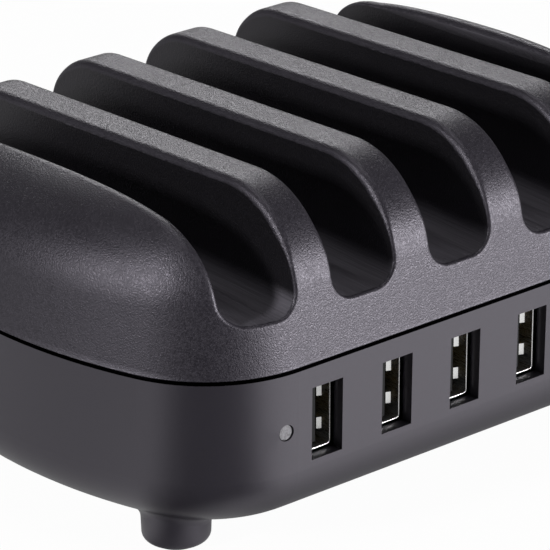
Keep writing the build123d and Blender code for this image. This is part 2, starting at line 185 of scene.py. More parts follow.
def bumpFrom(tree, height, finish):
    bump = tree.nodes.new("ShaderNodeBump")
    bump.inputs["Strength"].default_value = finish["bump"]
    bump.inputs["Distance"].default_value = finish["depth"]
    tree.links.new(height, bump.inputs["Height"])
    return bump.outputs["Normal"]


def patternMaterial(name, group, finish):
    mat, tree, bsdf = newMaterial(name, finish)
    pattern = placePattern(tree, group, finish["pattern"])
    tree.links.new(pattern.outputs["Color"], bsdf.inputs["Base Color"])
    tree.links.new(pattern.outputs["Roughness"], bsdf.inputs["Roughness"])
    tree.links.new(bumpFrom(tree, pattern.outputs["Height"], finish), bsdf.inputs["Normal"])
    return mat


def pickBetween(tree, kind, factor, first, second):
    pick = tree.nodes.new("ShaderNodeMix")
    pick.data_type = kind
    ends = [socket for socket in pick.inputs if socket.enabled and socket.name in ("A", "B")]
    tree.links.new(factor, pick.inputs["Factor"])
    tree.links.new(first, ends[0])
    tree.links.new(second, ends[1])
    return [socket for socket in pick.outputs if socket.enabled][0]


def rackMaterial(name, finish):
    # spark grain on the outer skin; where inSlot is set, the trough walls painted darker as painted shade and the
    # trough beds painted lighter, with a drawn texture, as painted light
    mat, tree, bsdf = newMaterial(name, finish)
    skin = placePattern(tree, sparkGrain, finish["pattern"])
    shadedWall = placePattern(tree, sparkGrain, finish["troughWallShade"])
    litBed = placePattern(tree, drawnLines, finish["troughBedLight"])
    upward = tree.nodes.new("ShaderNodeSeparateXYZ")
    tree.links.new(tree.nodes.new("ShaderNodeNewGeometry").outputs["Normal"], upward.inputs[0])
    where = tree.nodes.new("ShaderNodeAttribute")
    where.attribute_name = "inSlot"
    picked = {}
    # in the troughs, upward faces take the lighter bed tone (painted light) and the rest the darker wall tone (painted
    # shade)
    for label, kind in (("Color", "RGBA"), ("Roughness", "FLOAT"), ("Height", "FLOAT")):
        inside = pickBetween(tree, kind, spread(tree, upward.outputs["Z"], 0.1, 0.6).outputs["Result"],
                             shadedWall.outputs[label], litBed.outputs[label])
        picked[label] = pickBetween(tree, kind, where.outputs["Fac"], skin.outputs[label], inside)
    tree.links.new(picked["Color"], bsdf.inputs["Base Color"])
    tree.links.new(picked["Roughness"], bsdf.inputs["Roughness"])
    tree.links.new(bumpFrom(tree, picked["Height"], finish), bsdf.inputs["Normal"])
    return mat


def baseMaterial(name, finish):
    # satin skin, and above the seam level the step under the rack, painted near black and metallic so it takes no
    # gloss: painted shade in the gap under the rack
    mat, tree, bsdf = newMaterial(name, finish)
    skin = placePattern(tree, sparkGrain, finish["pattern"])
    paintedSeamShade = placePattern(tree, sparkGrain, finish["paintedSeamShade"])
    height = tree.nodes.new("ShaderNodeSeparateXYZ")
    tree.links.new(tree.nodes.new("ShaderNodeTexCoord").outputs["Object"], height.inputs[0])
    inPaintedShade = spread(tree, height.outputs["Z"], *finish["paintedShadeLevels"]).outputs["Result"]
    for label, kind, socket in (("Color", "RGBA", "Base Color"), ("Roughness", "FLOAT", "Roughness")):
        tree.links.new(pickBetween(tree, kind, inPaintedShade, skin.outputs[label], paintedSeamShade.outputs[label]), bsdf.inputs[socket])
    # metallic near-black in the gap kills its reflections too: painted shade
    tree.links.new(inPaintedShade, bsdf.inputs["Metallic"])
    tree.links.new(bumpFrom(tree, skin.outputs["Height"], finish), bsdf.inputs["Normal"])
    return mat


rackFinish = {
    "pattern": {"Grain": 3300.0, "Low": 0.28, "High": 0.52,
                "Dark": (0.014, 0.0126, 0.0165), "Light": (0.021, 0.0190, 0.0245)},
    # painted shade: trough walls coloured several times darker than the skin of the same moulding
    "troughWallShade": {"Grain": 3300.0, "Low": 0.28, "High": 0.36,
                   "Dark": (0.0040, 0.0037, 0.0044), "Light": (0.007, 0.0065, 0.0077)},
    # painted light: trough beds coloured several times lighter than the skin, with a drawn-line texture
    "troughBedLight": {"Lines": (2600.0, 60.0, 2600.0), "Low": 0.40, "High": 0.55,
                  "Dark": (0.060, 0.056, 0.066), "Light": (0.100, 0.094, 0.110)},
    "bump": 0.32, "depth": 0.0003, "specular": 0.58, "tint": (0.93, 0.875, 1.0),
}
baseFinish = {
    "pattern": {"Grain": 5200.0, "Low": 0.28, "High": 0.34,
                "Dark": (0.020, 0.0182, 0.0235), "Light": (0.024, 0.0218, 0.0280)},
    # painted shade: the step in the gap under the rack, coloured near black where the shadow falls
    "paintedSeamShade": {"Grain": 2400.0, "Low": 0.22, "High": 0.30,
             "Dark": (0.002, 0.002, 0.0022), "Light": (0.003, 0.003, 0.0033)},
    "paintedShadeLevels": (0.03640, 0.03646),
    "bump": 0.03, "depth": 0.0001, "specular": 1.0, "tint": (0.95, 0.90, 1.0),
}
pipeFinish = {
    "pattern": {"Grain": 2600.0, "Low": 0.45, "High": 0.62,
                "Dark": (0.090, 0.087, 0.095), "Light": (0.220, 0.215, 0.230)},
    "bump": 0.25, "depth": 0.0002, "specular": 0.4,
}
footFinish = {
    "pattern": {"Grain": 2500.0, "Low": 0.7, "High": 0.85,
                "Dark": (0.012, 0.012, 0.013), "Light": (0.022, 0.022, 0.024)},
    "bump": 0.2, "depth": 0.0002, "specular": 0.2,
}
portBlackFinish = {
    "pattern": {"Grain": 4000.0, "Low": 0.45, "High": 0.6,
                "Dark": (0.003, 0.003, 0.0035), "Light": (0.006, 0.006, 0.007)},
    "bump": 0.06, "depth": 0.0001, "specular": 0.2,
}
inletFinish = {
    "pattern": {"Grain": 3600.0, "Low": 0.4, "High": 0.55,
                "Dark": (0.012, 0.012, 0.013), "Light": (0.020, 0.020, 0.022)},
    "bump": 0.1, "depth": 0.0001, "specular": 0.4,
}
portSteelFinish = {
    "pattern": {"Lines": (9000.0, 500.0, 9000.0), "Low": 0.22, "High": 0.34,
                "Dark": (0.66, 0.66, 0.66), "Light": (0.80, 0.80, 0.79)},
    "bump": 0.04, "depth": 0.0001, "metal": 1.0,
}
contactFinish = {
    "pattern": {"Lines": (8000.0, 400.0, 8000.0), "Low": 0.2, "High": 0.32,
                "Dark": (0.70, 0.52, 0.24), "Light": (0.84, 0.67, 0.36)},
    "bump": 0.04, "depth": 0.0001, "metal": 1.0,
}
pinFinish = {
    "pattern": {"Lines": (7000.0, 500.0, 7000.0), "Low": 0.22, "High": 0.36,
                "Dark": (0.60, 0.59, 0.56), "Light": (0.76, 0.75, 0.72)},
    "bump": 0.05, "depth": 0.0001, "metal": 1.0,
}
screwFinish = {
    "pattern": {"Lines": (900.0, 900.0, 9000.0), "Low": 0.3, "High": 0.45,
                "Dark": (0.38, 0.38, 0.37), "Light": (0.52, 0.52, 0.50)},
    "bump": 0.12, "depth": 0.0001, "metal": 1.0,
}
sinkFinish = {
    "pattern": {"Lines": (5000.0, 5000.0, 250.0), "Low": 0.35, "High": 0.5,
                "Dark": (0.60, 0.61, 0.62), "Light": (0.76, 0.77, 0.78)},
    "bump": 0.1, "depth": 0.0001, "metal": 1.0,
}
boardFinish = {
    "pattern": {"Grain": 700.0, "Low": 0.28, "High": 0.42,
                "Dark": (0.004, 0.010, 0.006), "Light": (0.009, 0.020, 0.012)},
    "bump": 0.1, "depth": 0.0001, "specular": 0.5,
}
sheetFinish = {
    "pattern": {"Lines": (300.0, 4000.0, 300.0), "Low": 0.3, "High": 0.45,
                "Dark": (0.035, 0.035, 0.036), "Light": (0.06, 0.06, 0.062)},
    "bump": 0.05, "depth": 0.0001, "specular": 0.5,
}
ferriteFinish = {
    "pattern": {"Grain": 2200.0, "Low": 0.55, "High": 0.75,
                "Dark": (0.022, 0.022, 0.024), "Light": (0.042, 0.042, 0.046)},
    "bump": 0.4, "depth": 0.0002, "specular": 0.4,
}
tapeFinish = {
    "pattern": {"Axis": (0.0, 0.0, 1400.0), "Low": 0.25, "High": 0.4,
                "Dark": (0.55, 0.40, 0.04), "Light": (0.78, 0.60, 0.09)},
    "bump": 0.3, "depth": 0.0002, "specular": 0.5,
}
copperFinish = {
    "pattern": {"Axis": (2600.0, 2600.0, 0.0), "Low": 0.22, "High": 0.4,
                "Dark": (0.38, 0.14, 0.06), "Light": (0.68, 0.28, 0.13)},
    "bump": 0.7, "depth": 0.0004, "metal": 0.8,
}
sleeveFinish = {
    "pattern": {"Lines": (500.0, 500.0, 60.0), "Low": 0.25, "High": 0.38,
                "Dark": (0.015, 0.022, 0.055), "Light": (0.026, 0.038, 0.085)},
    "bump": 0.08, "depth": 0.0001, "specular": 0.5,
}
filmFinish = {
    "pattern": {"Grain": 1500.0, "Low": 0.3, "High": 0.45, "Dark": (0.60, 0.46, 0.04), "Light": (0.74, 0.58, 0.06)},
    "bump": 0.15, "depth": 0.0001, "specular": 0.5,
}
discFinish = {
    "pattern": {"Grain": 450.0, "Low": 0.2, "High": 0.35, "Dark": (0.05, 0.13, 0.38), "Light": (0.07, 0.19, 0.50)},
    "bump": 0.3, "depth": 0.0003, "specular": 0.5,
}
chipFinish = {
    "pattern": {"Grain": 5000.0, "Low": 0.5, "High": 0.7,
                "Dark": (0.014, 0.014, 0.014), "Light": (0.028, 0.028, 0.028)},
    "bump": 0.3, "depth": 0.0001, "specular": 0.4,
}
lampFinish = {
    "pattern": {"Grain": 1200.0, "Low": 0.15, "High": 0.25, "Dark": (0.78, 0.79, 0.75), "Light": (0.88, 0.89, 0.85)},
    "bump": 0.05, "depth": 0.0001, "specular": 0.5,
}
finishOf = {                                        # the record's slots and their materials
    "rack_plastic": rackMaterial("rackPlastic", rackFinish),
    "base_plastic": baseMaterial("basePlastic", baseFinish),
    "pipe_plastic": patternMaterial("pipeFrosted", sparkGrain, pipeFinish),
    "foot_rubber": patternMaterial("footRubber", sparkGrain, footFinish),
    "port_black": patternMaterial("portBlack", sparkGrain, portBlackFinish),
    "inlet_black": patternMaterial("inletBlack", sparkGrain, inletFinish),
    "port_steel": patternMaterial("portSteel", drawnLines, portSteelFinish),
    "contact_metal": patternMaterial("contactPlating", drawnLines, contactFinish),
    "pin_metal": patternMaterial("pinPlating", drawnLines, pinFinish),
    "screw_steel": patternMaterial("screwZinc", drawnLines, screwFinish),
    "sink_metal": patternMaterial("sinkMetal", drawnLines, sinkFinish),
    "board": patternMaterial("boardLacquer", sparkGrain, boardFinish),
    "sheet": patternMaterial("sheetFilm", drawnLines, sheetFinish),
    "ferrite": patternMaterial("ferriteGrey", sparkGrain, ferriteFinish),
    "winding_tape": patternMaterial("windingTape", woundTurns, tapeFinish),
    "copper_wire": patternMaterial("copperTurns", woundTurns, copperFinish),
    "capacitor_sleeve": patternMaterial("sleeveBlue", drawnLines, sleeveFinish),
    "film_box": patternMaterial("filmBox", sparkGrain, filmFinish),
    "disc_coat": patternMaterial("discCoat", sparkGrain, discFinish),
    "chip_black": patternMaterial("chipBlack", sparkGrain, chipFinish),
    "lamp": patternMaterial("lampClear", sparkGrain, lampFinish),
}
for piece in frame["record"]["subparts"]:
    slots = nodes[piece["node"]].data.materials
    slots.clear()
    slots.append(finishOf[piece["material_slot"]])
print("materials set:", len(finishOf))

# device rack: the moulding with its five troughs, every mouth edge rounded
rackShape = {
    "halfLength": 69.7, "halfDepth": 52.5, "corner": 25.4, "endBow": 97.0,   # plan at the shadow gap, mm
    "bottom": 37.125, "frontTop": 67.3, "fall": 3.65, "lean": 9.0,
    "rollFront": 18.5, "rollBack": 13.7, "endDrop": 0.6, "endDropFrom": 40.0,
    "endDropRun": 12.2, "endDropMost": 1.6, "endDropRise": 28.0,             # how far the ends crown over
    "slotPitch": 22.5, "slotCount": 5, "slotHalf": 7.1, "slotDraft": 0.5,
    "slotFloor": 46.4, "slotCorner": 4.6, "lip": 0.22, "lipRound": 0.18,
    "lipUnder": 1.05, "lipStep": 1.95, "upstandIn": 3.0, "upstandTop": 8.2,
    "edgeLow": 0.65, "edgeTop": 1.45, "edgeFrom": 54.0, "edgeTo": 61.0,       # mouth rounding, fuller along the tops
    "boss": 3.6, "bossFoot": 22.0, "bossTop": 45.4, "bossX": 50.7, "bossY": 32.6, "blunt": 0.3,
    "hole": 1.6, "holeTop": 31.2,
}
rackGrid = {"reach": 62, "probes": 900, "skirt": 26, "around": 170, "finReach": 90, "finProbes": 6000, "finRows": 71}


def rackSection(px, py, nx, ny, t):
    # wall leaning in, roll of radius R, then the falling top, by length t up the section from the plan point
    r = rackShape
    lean, fall = math.radians(r["lean"]), math.tan(math.radians(r["fall"]))
    w = np.clip(ny, 0, 1)
    roll = r["rollFront"] + (r["rollBack"] - r["rollFront"]) * w * w * (3 - 2 * w)
    topZ = r["frontTop"] - (py + r["halfDepth"]) * fall
    tilt = np.arctan(ny * fall)
    sinT, cosT = np.sin(tilt), np.cos(tilt)
    sinL, cosL, tanL = math.sin(lean), math.cos(lean), math.tan(lean)
    cz = (roll - roll * sinT / cosL + r["bottom"] * sinT * tanL - topZ * cosT) / (sinT * tanL - cosT)
    cs = (roll + (cz - r["bottom"]) * sinL) / cosL
    wallLen = (cz + roll * sinL - r["bottom"]) / cosL
    arcLen = roll * (math.pi / 2 - tilt - lean)
    onWall, onArc = t < wallLen, t < wallLen + arcLen
    a = np.where(onWall, lean, np.where(onArc, lean + (t - wallLen) / roll, math.pi / 2 - tilt))
    over = np.maximum(t - wallLen - arcLen, 0)
    s = np.where(onWall, t * sinL, cs - roll * np.cos(a) + over * cosT)
    z = np.where(onWall, r["bottom"] + t * cosL, cz + roll * np.sin(a) + over * sinT)
    x, y = px - nx * s, py - ny * s
    out = np.clip((np.abs(x) - r["endDropFrom"]) / r["endDropRun"], 0, r["endDropMost"]) ** 2
    z = z - r["endDrop"] * out * np.clip((z - r["bottom"]) / r["endDropRise"], 0, 1)
    return np.stack([x, y, z], -1), np.stack([nx * np.cos(a), ny * np.cos(a), np.sin(a) + 0 * x], -1)


def draftAt(z):
    # how far each trough wall has leaned back at height z
    r = rackShape
    return np.maximum(z - r["slotFloor"] - r["slotCorner"], 0) * math.tan(math.radians(r["slotDraft"]))


def slotGap(p, slotX):
    # distance from a point to the trough outline: a box open upwards with rounded floor corners
    r = rackShape
    half = r["slotHalf"] + draftAt(p[..., 2])
    qx = np.abs(p[..., 0] - slotX) - half + r["slotCorner"]
    qz = r["slotFloor"] + r["slotCorner"] - p[..., 2]
    return np.hypot(np.maximum(qx, 0), np.maximum(qz, 0)) + np.minimum(np.maximum(qx, qz), 0) - r["slotCorner"]


def edgeRound(z):
    # mouth radius by height: edgeLow on the faces, rising smoothly to edgeTop
    r = rackShape
    u = np.clip((z - r["edgeFrom"]) / (r["edgeTo"] - r["edgeFrom"]), 0, 1)
    return r["edgeLow"] + (r["edgeTop"] - r["edgeLow"]) * u * u * (3 - 2 * u)


def roundOver(p, n, gap, e):
    # quarter round at the mouth: sink = e - sqrt(e^2 - (e - gap)^2) below the skin
    near = np.clip(e - gap, 0, e)
    return p - n * (e - np.sqrt(e * e - near * near))[..., None]


roundSteps = np.sin(np.linspace(0, math.pi / 2, 7))
mouthSteps = np.concatenate([[1.22], 1 - roundSteps])


def mouthLengths(px, py, nx, ny, slotX):
    # section lengths at which the skin comes within each step of the trough, by plan point, and the radius there
    t = np.linspace(0, rackGrid["reach"], rackGrid["probes"])
    p, _ = rackSection(px[:, None], py[:, None], nx[:, None], ny[:, None], t[None, :])
    gap = slotGap(p, slotX)
    i = np.arange(len(px))
    e = edgeRound(p[i, np.maximum(np.argmax(gap <= 1e-7, axis=1), 1), 2])
    rows = []
    for step in mouthSteps:
        level = step * e
        hit = np.maximum(np.argmax(gap <= level[:, None] + 1e-7, axis=1), 1)
        g0, g1 = gap[i, hit - 1], gap[i, hit]
        part = np.clip((g0 - level) / np.maximum(g0 - g1, 1e-9), 0, 1)
        rows.append(t[hit - 1] + (t[hit] - t[hit - 1]) * part)
    return np.stack(rows, 1), e


def skirtRows(mouth):
    # rows from the lip up to the mouth, then the rounding rows
    v = np.linspace(0, 1, rackGrid["skirt"])[None, :]
    low = rackShape["lip"]
    return np.concatenate([low + (mouth[:, :1] - low) * v, mouth[:, 1:]], axis=1)


def endOutline(q, startX):
    # quarter of the plan by length q: straight front, corner arc, bowed end, left side
    r = rackShape
    cy = r["halfDepth"] - r["corner"]
    bow = r["halfLength"] - r["endBow"]
    cx = bow + math.sqrt((r["endBow"] - r["corner"]) ** 2 - cy ** 2)
    blend = math.atan2(cy, cx - bow)
    l1, l2, l3 = cx - startX, r["corner"] * (math.pi / 2 - blend), r["endBow"] * blend
    a1 = 1.5 * math.pi - np.clip(q - l1, 0, l2) / r["corner"]
    a2 = math.pi + blend - np.clip(q - l1 - l2, 0, l3) / r["endBow"]
    straight, corner = q < l1, q < l1 + l2
    a = np.where(straight, 1.5 * math.pi, np.where(corner, a1, a2))
    curveX = np.where(corner, -cx + r["corner"] * np.cos(a), -bow + r["endBow"] * np.cos(a))
    curveY = np.where(corner, -cy + r["corner"] * np.sin(a), r["endBow"] * np.sin(a))
    x = np.where(straight, -startX - q, curveX)
    y = np.where(straight, -r["halfDepth"], curveY)
    return x, y, np.cos(a), np.sin(a), l1 + l2 + l3


def mirroredBack(x, y, nx, ny):
    # front samples followed by the same ones at the back, the shared middle once
    return (np.concatenate([x, x[-2::-1]]), np.concatenate([y, -y[-2::-1]]),
            np.concatenate([nx, nx[-2::-1]]), np.concatenate([ny, -ny[-2::-1]]))


nearMouth = np.array([0, 0.0015, 0.02, 0.06, 0.12, 0.2, 0.3, 0.4])                # closer rows at both mouths
acrossTrough = np.concatenate([nearMouth, [0.5], 1 - nearMouth[::-1]])


def ruled(front, back):
    # straight lines from the front mouth to the back mouth
    return front[:, None, :] + (back - front)[:, None, :] * acrossTrough[None, :, None]


def endSector(slotX):
    # one end: skin from the inner corner of its trough round to the same corner at the back, and the trough
    r = rackShape
    startX = -slotX - r["slotHalf"]
    half = endOutline(np.zeros(1), startX)[4]
    q = np.linspace(0, half, rackGrid["probes"])
    x, y, nx, ny, _ = endOutline(q, startX)
    t0 = mouthLengths(x, y, nx, ny, slotX)[0][:, -1]
    mouth, _ = rackSection(x, y, nx, ny, t0)
    step = np.linalg.norm(np.diff(mouth, axis=0), axis=1) + 0.5 * np.diff(q)
    run = np.concatenate([[0], np.cumsum(step)])
    q = np.interp(np.linspace(0, run[-1], rackGrid["around"]), run, q)
    x, y, nx, ny = mirroredBack(*endOutline(q, startX)[:4])
    mouth, e = mouthLengths(x, y, nx, ny, slotX)
    p, n = rackSection(x[:, None], y[:, None], nx[:, None], ny[:, None], skirtRows(mouth))
    p = roundOver(p, n, slotGap(p, slotX), e[:, None])
    rim = p[:, -1]
    middle = len(rim) // 2
    return (x, y, nx, ny), p, ruled(rim[:middle + 1], rim[::-1][:middle + 1])


def apronOffsets():
    r = rackShape
    turn = np.linspace(0, math.pi / 2, 18)
    left = -r["slotHalf"] + r["slotCorner"] * (1 - np.cos(turn))
    flat = np.linspace(left[-1], -left[-1], 7)[1:-1]
    return np.concatenate([left, flat, -left[::-1]])


def slotApron(slotX):
    # skin below one trough at the front and at the back, and the trough floor between them
    x = slotX + apronOffsets()
    zero, one = np.zeros_like(x), np.ones_like(x)
    sides = []
    for side in (-1, 1):
        y = side * rackShape["halfDepth"] * one
        mouth, e = mouthLengths(x, y, zero, side * one, slotX)
        p, n = rackSection(x[:, None], y[:, None], zero[:, None], (side * one)[:, None], skirtRows(mouth))
        sides.append(roundOver(p, n, slotGap(p, slotX), e[:, None]))
    return sides[0], sides[1], ruled(sides[0][:, -1], sides[1][:, -1])


def finStrip(leftSlot, rightSlot):
    # one fin: the side section carried across from trough to trough, rounded at both edges, and its two walls
    r = rackShape
    strips, rims = [], []
    for side in (-1, 1):
        at = np.array([float(leftSlot + r["slotHalf"])])
        py, nx, ny = at * 0 + side * r["halfDepth"], at * 0, at * 0 + side
        low = skirtRows(mouthLengths(at, py, nx, ny, leftSlot)[0])[0]
        probe = np.linspace(0, rackGrid["finReach"], rackGrid["finProbes"])
        line, _ = rackSection(at, py, nx, ny, probe)
        mid = np.interp(0, side * -line[:, 1], probe)
        t = np.concatenate([low, np.linspace(low[-1], mid, rackGrid["finRows"])[1:]])
        centre, normal = rackSection(at, py, nx, ny, t)
        grow = draftAt(centre[:, 2])
        halfTop = (r["slotPitch"] - 2 * r["slotHalf"]) / 2 - grow
        e = edgeRound(centre[:, 2])
        inner = mouthSteps[0] * e
        share = np.concatenate([e[:, None] * (1 - roundSteps[::-1]),
                                inner[:, None] + (halfTop - inner)[:, None] * np.linspace(0, 1, 4)], axis=1)
        x = np.concatenate([leftSlot + r["slotHalf"] + grow[:, None] + share,
                            rightSlot - r["slotHalf"] - grow[:, None] - share[:, -2::-1]], axis=1)
        p = np.stack([x, centre[:, 1, None] + 0 * x, centre[:, 2, None] + 0 * x], -1)
        n = np.broadcast_to(normal[:, None, :], p.shape)
        gap = np.minimum(slotGap(p, leftSlot), slotGap(p, rightSlot))
        p = roundOver(p, n, gap, e[:, None])
        strips.append(p)
        rims.append(p[len(low) - 1:])
    skin = np.concatenate([strips[0], strips[1][-2::-1]], axis=0)
    return skin, ruled(rims[0][:, 0], rims[1][:, 0]), ruled(rims[0][:, -1], rims[1][:, -1])


def lipRing(end, frontX):
    # lower lip carried round the plan: rounding, underside, step over the base's tongue, upstand, lid to the middle
    r = rackShape
    zero, depth = 0 * frontX, 0 * frontX + r["halfDepth"]
    x = np.concatenate([end[0], frontX, -end[0][::-1], frontX[::-1]])
    y = np.concatenate([end[1], depth, end[1][::-1], -depth])
    nx = np.concatenate([end[2], zero, -end[2][::-1], zero])
    ny = np.concatenate([end[3], zero + 1, end[3][::-1], zero - 1])
    top, _ = rackSection(x, y, nx, ny, 0 * x + r["lip"])
    turn = np.linspace(0, math.pi / 2, 5)
    inset = np.concatenate([r["lipRound"] * (1 - np.cos(turn)) + 0.02, [r["lipUnder"]] * 2, [r["upstandIn"]] * 2])
    level = np.concatenate([r["lipRound"] * (1 - np.sin(turn)), [0.0, r["lipStep"], r["lipStep"], r["upstandTop"]]])
    level = level + r["bottom"]
    ringX, ringY = x[:, None] - nx[:, None] * inset, y[:, None] - ny[:, None] * inset
    ring = np.stack([ringX, ringY, level[None, :] + 0 * ringX], -1)
    lid = ring[:, -1:, :] * np.array([1.0, 1.0, 0.0]) * np.linspace(1, 0, 3)[None, :, None]
    lid = lid + np.array([0, 0, r["upstandTop"] + r["bottom"]])
    both = np.concatenate([top[:, None, :], ring, lid[:, 1:]], axis=1)
    return np.concatenate([both, both[:1]], axis=0)


def screwBoss(x, y):
    # closed profile of radius and height turned about an upright axis: column, blunt rim, blind hole
    r = rackShape
    low, rim = r["bossFoot"], r["bossFoot"] + r["blunt"]
    radius = np.array([0.0, r["boss"], r["boss"], r["boss"] - r["blunt"], r["hole"] + r["blunt"], r["hole"], r["hole"], 0.0])
    height = np.array([r["bossTop"], r["bossTop"], rim, low, low, rim, r["holeTop"], r["holeTop"]])
    turn = np.linspace(0, 2 * math.pi, 33)[:, None]
    return np.stack([x + radius * np.cos(turn), y + radius * np.sin(turn), height + 0 * turn], -1)


def meshFromGrids(name, grids, marks):
    # joins grids into one mesh: vertex arrays end to end, quads from neighbouring rows and columns
    verts, faces, attr, base = [], [], [], 0
    for grid, mark in zip(grids, marks):
        rows, cols = grid.shape[:2]
        index = np.arange(rows * cols).reshape(rows, cols) + base
        quads = np.stack([index[:-1, :-1], index[1:, :-1], index[1:, 1:], index[:-1, 1:]], -1).reshape(-1, 4)
        verts.append(grid.reshape(-1, 3) * mm)
        faces.append(quads)
        attr.append(np.full(rows * cols, mark))
        base += rows * cols
    verts, faces, attr = np.concatenate(verts), np.concatenate(faces), np.concatenate(attr)
    mesh = bpy.data.meshes.new(name)
    mesh.from_pydata(verts.tolist(), [], faces.tolist())
    layer = mesh.attributes.new("inSlot", "FLOAT", "POINT")
    layer.data.foreach_set("value", attr.astype(np.float32))
    bm = bmesh.new()
    bm.from_mesh(mesh)
    bmesh.ops.remove_doubles(bm, verts=bm.verts, dist=2e-6)
    bmesh.ops.dissolve_degenerate(bm, edges=bm.edges, dist=1e-7)
    bmesh.ops.recalc_face_normals(bm, faces=bm.faces)
    bm.to_mesh(mesh)
    bm.free()
    mesh.polygons.foreach_set("use_smooth", np.ones(len(mesh.polygons), dtype=bool))
    mesh.set_sharp_from_angle(angle=math.radians(40))
    obj = bpy.data.objects.new(name, mesh)
    scene.collection.objects.link(obj)
    return obj


def makeRack():
    r = rackShape
    places = [(i - (r["slotCount"] - 1) / 2) * r["slotPitch"] for i in range(r["slotCount"])]
    end, skin, trough = endSector(places[0])
    flip = np.array([-1.0, 1.0, 1.0])
    grids, marks, frontX = [skin, trough, skin * flip, trough * flip], [0, 1, 0, 1], []
    for slotX in places[1:-1]:
        front, back, floor = slotApron(slotX)
        frontX.append(front[:, 0, 0])
        grids += [front, back, floor]
        marks += [0, 0, 1]
    for leftSlot, rightSlot in zip(places[:-1], places[1:]):
        fin, leftWall, rightWall = finStrip(leftSlot, rightSlot)
        frontX.append(fin[0, :, 0])
        grids += [fin, leftWall, rightWall]
        marks += [0, 1, 1]
    grids += [lipRing(end, np.unique(np.round(np.concatenate(frontX), 5)))]
    grids += [screwBoss(sx * r["bossX"], sy * r["bossY"]) for sx in (-1, 1) for sy in (-1, 1)]
    marks += [0] * 5
    return meshFromGrids("rackMoulding", grids, marks)


rackMoulding = makeRack()
rackMoulding.data.materials.append(finishOf["rack_plastic"])
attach(rackMoulding, "root")
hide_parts("device_rack")
print("rack moulding:", len(rackMoulding.data.polygons), "faces")

# receptacle shells: rounded tube of plated sheet with a rolled front rim and two springs pressed into each side
shellShape = {
    "halfWidth": 2.85, "halfHeight": 6.55, "corner": 0.7, "sheet": 0.3, "length": 14.0,      # mm
    "front": -49.9, "level": 25.4, "pitch": 16.2, "count": 5,
    "springFront": 2.15, "springCrest": 2.53, "springBack": 8.4, "springHalf": 1.1, "springSpread": 3.2,
    "openBulge": 0.85, "tongueBulge": 0.5,                                     # the tongue stands close to the other side
}


def shellLoop():
    # rounded rectangle by its points and outward normals, anticlockwise seen from the front
    s = shellShape
    w, h, c = s["halfWidth"] - s["corner"], s["halfHeight"] - s["corner"], s["corner"]
    edges = np.array([-1.06, -1.0, -0.5, 0.0, 0.5, 1.0, 1.06]) * s["springHalf"]
    side = np.concatenate([[-h], edges - s["springSpread"], [0.0], edges + s["springSpread"], [h]])
    turn = np.linspace(0, math.pi / 2, 6)
    top = np.linspace(w, -w, 5)
    angle = np.concatenate([side * 0, turn, top * 0 + math.pi / 2, turn + math.pi / 2])
    x = np.concatenate([side * 0 + w, turn * 0 + w, top, turn * 0 - w]) + c * np.cos(angle)
    z = np.concatenate([side, turn * 0 + h, top * 0 + h, turn * 0 + h]) + c * np.sin(angle)
    x, z, angle = np.concatenate([x, -x]), np.concatenate([z, -z]), np.concatenate([angle, angle + math.pi])
    return np.append(x, x[0]), np.append(z, z[0]), np.append(angle, angle[0])


def shellGrid(centreX):
    # the loop carried along a closed profile of depth and inset; springs press in by a steep front and a long fall
    s = shellShape
    x, z, angle = shellLoop()
    t = s["sheet"] / 2
    run = np.concatenate([[t, 0.5, 1.2, 1.9], np.linspace(s["springFront"], s["springCrest"], 5),
                          [2.62, 2.8, 3.1, 3.6, 4.4, 5.4, 6.6, 7.6, 8.4, 11.0, s["length"]]])
    rim = np.linspace(0, math.pi, 9)[1:-1]
    depth = np.concatenate([run[::-1], t - t * np.sin(rim), run, run[-1:]])
    inset = np.concatenate([run * 0, t - t * np.cos(rim), run * 0 + s["sheet"], [0.0]])
    rise = np.clip((depth - s["springFront"]) / (s["springCrest"] - s["springFront"]), 0, 1)
    fall = np.clip((depth - s["springCrest"]) / (s["springBack"] - s["springCrest"]), 0, 1)
    press = rise * 0.5 * (1 + np.cos(math.pi * fall))
    off = np.abs(np.abs(z) - s["springSpread"]) / s["springHalf"]
    window = np.clip((1.06 - off) / 0.06, 0, 1) * (np.abs(np.cos(angle)) > 0.999)
    window = window * np.where(np.cos(angle) > 0, s["openBulge"], s["tongueBulge"])
    push = inset[None, :] + press[None, :] * window[:, None]
    px = centreX + x[:, None] - np.cos(angle)[:, None] * push
    pz = s["level"] + z[:, None] - np.sin(angle)[:, None] * push
    return np.stack([px, s["front"] + depth[None, :] + 0 * px, pz], -1)


for index in range(shellShape["count"]):
    centreX = (index - (shellShape["count"] - 1) / 2) * shellShape["pitch"]
    portShell = meshFromGrids("portShell" + str(index + 1), [shellGrid(centreX)], [0])
    portShell.data.materials.append(finishOf["port_steel"])
    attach(portShell, "root")
    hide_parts("usb_shell_" + str(index + 1))
print("port shells:", shellShape["count"])

def vectorStep(tree, operation, first, second=None):
    node = tree.nodes.new("ShaderNodeVectorMath")
    node.operation = operation
    tree.links.new(first, node.inputs[0])
    if second is not None:
        node.inputs[1].default_value = second
    return node.outputs["Value" if operation in ("LENGTH", "DOT_PRODUCT") else "Vector"]


def mathStep(tree, operation, first, second):
    node = tree.nodes.new("ShaderNodeMath")
    node.operation = operation
    for socket, value in zip(node.inputs, (first, second)):
        if isinstance(value, float):
            socket.default_value = value
        else:
            tree.links.new(value, socket)
    return node.outputs[0]


def smoothRange(tree, value, low, high, least=0.0):
    node = tree.nodes.new("ShaderNodeMapRange")
    node.interpolation_type = "SMOOTHSTEP"
    node.inputs["From Min"].default_value = low
    node.inputs["From Max"].default_value = high
    node.inputs["To Min"].default_value = least
    tree.links.new(value, node.inputs["Value"])
    return node.outputs["Result"]


